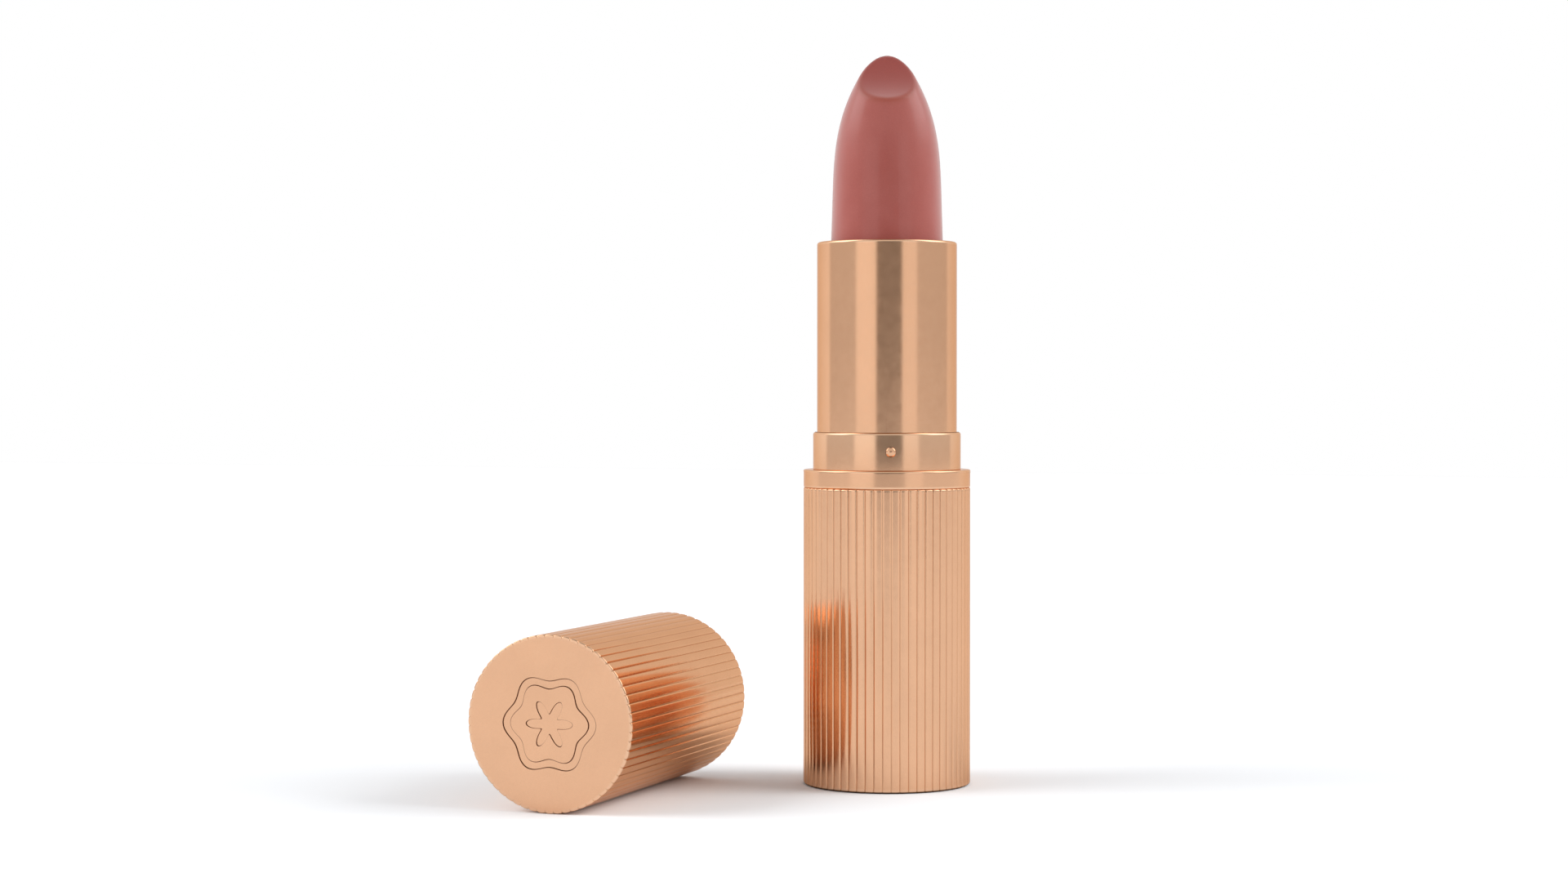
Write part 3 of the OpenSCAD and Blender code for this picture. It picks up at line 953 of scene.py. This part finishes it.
def banded_sky(studio):
    """Light from all round, as tall panels and gaps by direction.

    The azimuth is measured from the direction of the camera, rightward, and sets the light near the horizon: a dark gap
    in front, a bright panel on each side of it, dimmer sides and a bright back. Higher up the sides are the brightest,
    and straight above there is little light. In reflections the panels reach a little higher than in the light that
    they cast. Heights are the sines of elevations, and each pair is where one light gives way to the next.
    """
    low_to_high, high_to_above, reflected_drop = (0.22, 0.45), (0.72, 0.86), -0.14
    world = bpy.data.worlds.new("studio_sky")
    tree = empty_tree(world)
    direction = add_node(tree, "ShaderNodeTexCoord").outputs["Generated"]
    turn = studio.azimuth
    forward = (math.sin(turn), -math.cos(turn), 0)
    rightward = (math.cos(turn), math.sin(turn), 0)
    parts = []
    for axis in (rightward, forward):
        dot = add_node(tree, "ShaderNodeVectorMath", {0: direction, 1: axis}, operation="DOT_PRODUCT")
        parts.append(dot.outputs["Value"])
    angle = add_node(tree, "ShaderNodeMath", {0: parts[0], 1: parts[1]}, operation="ARCTAN2").outputs[0]
    level = ramp(tree, angle, [
        (-180, studio.back), (-112, 1.1 * studio.back), (-109, studio.sides), (-55.5, studio.sides),
        (-52, studio.panel_left), (-20.5, studio.panel_left), (-18, studio.front), (21.5, studio.front),
        (24, studio.panel_right), (47, studio.panel_right), (50, studio.sides), (113, studio.sides), (117, studio.back),
    ])
    high = ramp(tree, angle, [
        (-122, studio.high_back), (-112, studio.high_sides), (-80, studio.high_sides), (-70, studio.high_front),
        (70, studio.high_front), (80, studio.high_sides), (112, studio.high_sides), (122, studio.high_back),
    ])
    upness = add_node(tree, "ShaderNodeSeparateXYZ", {"Vector": direction}).outputs["Z"]
    light = mixed(tree, ranged(tree, upness, 0, 1, *low_to_high), level, high)
    above = (studio.overhead, studio.overhead, studio.overhead, 1)
    ray = add_node(tree, "ShaderNodeLightPath").outputs
    drop = {0: ray["Is Glossy Ray"], 1: reflected_drop, 2: upness}
    lowered = add_node(tree, "ShaderNodeMath", drop, operation="MULTIPLY_ADD").outputs[0]
    light = mixed(tree, ranged(tree, lowered, 0, 1, *high_to_above), light, above)
    colour = mixed(tree, ray["Is Camera Ray"], light, opaque((1, 1, 1)))
    shader = add_node(tree, "ShaderNodeBackground", {"Color": colour, "Strength": 1.0})
    add_node(tree, "ShaderNodeOutputWorld", {"Surface": shader.outputs["Background"]})
    return world


def ramp(tree, angle, stops):
    """Grey levels at angles from -180 to 180 degrees, blended in between. Levels up to 4 are kept by a scale."""
    scale = 4.0
    made = add_node(tree, "ShaderNodeValToRGB", {"Fac": ranged(tree, angle, 0, 1, -math.pi, math.pi)})
    elements = made.color_ramp.elements
    while len(elements) < len(stops):
        elements.new(0.5)
    for element, (degrees, level) in zip(elements, stops):
        element.position = degrees / 360 + 0.5
        element.color = (level / scale, level / scale, level / scale, 1)
    return mixed(tree, 1.0, made.outputs["Color"], (scale, scale, scale, 1), blend="MULTIPLY")


def wide_lamp(name, bearing, elevation, strength):
    """A broad, even light from a bearing and an elevation, whose own image isn't seen in the metal."""
    spread, distance = math.radians(40), 0.5
    light = bpy.data.lights.new(name, "SUN")
    light.energy = strength
    light.angle = spread
    lamp = bpy.data.objects.new(name, light)
    flat = math.cos(elevation)
    back = Vector((math.sin(bearing) * flat, -math.cos(bearing) * flat, math.sin(elevation)))
    lamp.rotation_euler = back.to_track_quat("Z", "Y").to_euler()
    lamp.location = back * distance
    lamp.visible_glossy = False
    bpy.context.scene.collection.objects.link(lamp)


class LIPSTICK_OT_stage(Operator):
    """Set up the floor, the light and the camera"""

    bl_idname = "lipstick.stage"
    bl_label = "Stage"

    def execute(self, context):
        """A wide floor just under the foot, a sky of panels, two wide lamps and the camera."""
        scene = context.scene
        studio = scene.case_studio
        reach, drop = studio.floor_size / 2, -0.02 * MM
        mesh = bpy.data.meshes.new("studio_floor")
        corners = [(-reach, -reach, drop), (reach, -reach, drop), (reach, reach, drop), (-reach, reach, drop)]
        mesh.from_pydata(corners, [], [(0, 1, 2, 3)])
        mesh.materials.append(floor_material(scene.case_finishes))
        floor = bpy.data.objects.new("studio_floor", mesh)
        scene.collection.objects.link(floor)
        scene.world = banded_sky(studio)
        for side, name in ((-1, "lamp_left"), (1, "lamp_right")):
            wide_lamp(name, studio.azimuth + side * studio.key_turn, studio.key_climb, studio.key)
        camera = bpy.data.objects.new("case_camera", bpy.data.cameras.new("case_camera"))
        camera.data.lens = studio.lens
        camera.data.sensor_width = 36
        camera.data.clip_start, camera.data.clip_end = 0.01, 20
        camera.location = studio.place
        camera.rotation_euler = Euler((math.pi / 2 - studio.pitch, 0, studio.azimuth))
        scene.collection.objects.link(camera)
        scene.camera = camera
        scene.view_settings.view_transform = "Standard"
        return {"FINISHED"}


class LIPSTICK_PT_case(Panel):
    """The steps that build the case, and the values that shape it"""

    bl_idname = "LIPSTICK_PT_case"
    bl_label = "Lipstick Case"
    bl_space_type = "VIEW_3D"
    bl_region_type = "UI"
    bl_category = "Lipstick Case"

    def draw(self, context):
        """One button for each step, then the values of each group."""
        for step in STEPS:
            self.layout.operator(step.bl_idname)
        for name, group in GROUPS.items():
            box = self.layout.box()
            box.label(text=group.__doc__.split(":")[0].rstrip("."))
            for value in group.__annotations__:
                box.prop(getattr(context.scene, name), value)


GROUPS = {
    "case_flutes": CaseFlutes,
    "case_edges": CaseEdges,
    "case_beads": SnapBeads,
    "case_bullet": BulletShape,
    "case_cap_end": CapEnd,
    "case_finishes": CaseFinishes,
    "case_studio": CaseStudio,
}
STEPS = (
    LIPSTICK_OT_base_shell,
    LIPSTICK_OT_foot_label,
    LIPSTICK_OT_shoulder_ring,
    LIPSTICK_OT_snap_collar,
    LIPSTICK_OT_upper_sleeve,
    LIPSTICK_OT_bullet,
    LIPSTICK_OT_cap_shell,
    LIPSTICK_OT_cap_liner,
    LIPSTICK_OT_inner_works,
    LIPSTICK_OT_stage,
)


def register():
    """Registers the groups, the steps and the panel, and hangs the groups on the scene."""
    for made in (*GROUPS.values(), *STEPS, LIPSTICK_PT_case):
        bpy.utils.register_class(made)
    for name, group in GROUPS.items():
        setattr(bpy.types.Scene, name, PointerProperty(type=group))


def unregister():
    """Takes back what register did."""
    for name in GROUPS:
        delattr(bpy.types.Scene, name)
    for made in (LIPSTICK_PT_case, *reversed(STEPS), *reversed(list(GROUPS.values()))):
        bpy.utils.unregister_class(made)


def main():
    """Builds the case step by step."""
    register()
    for step in STEPS:
        group, name = step.bl_idname.split(".")
        result = getattr(getattr(bpy.ops, group), name)()
        if result != {"FINISHED"}:
            raise RuntimeError(f"{step.bl_label} did not finish")


if __name__ == "__main__":
    main()
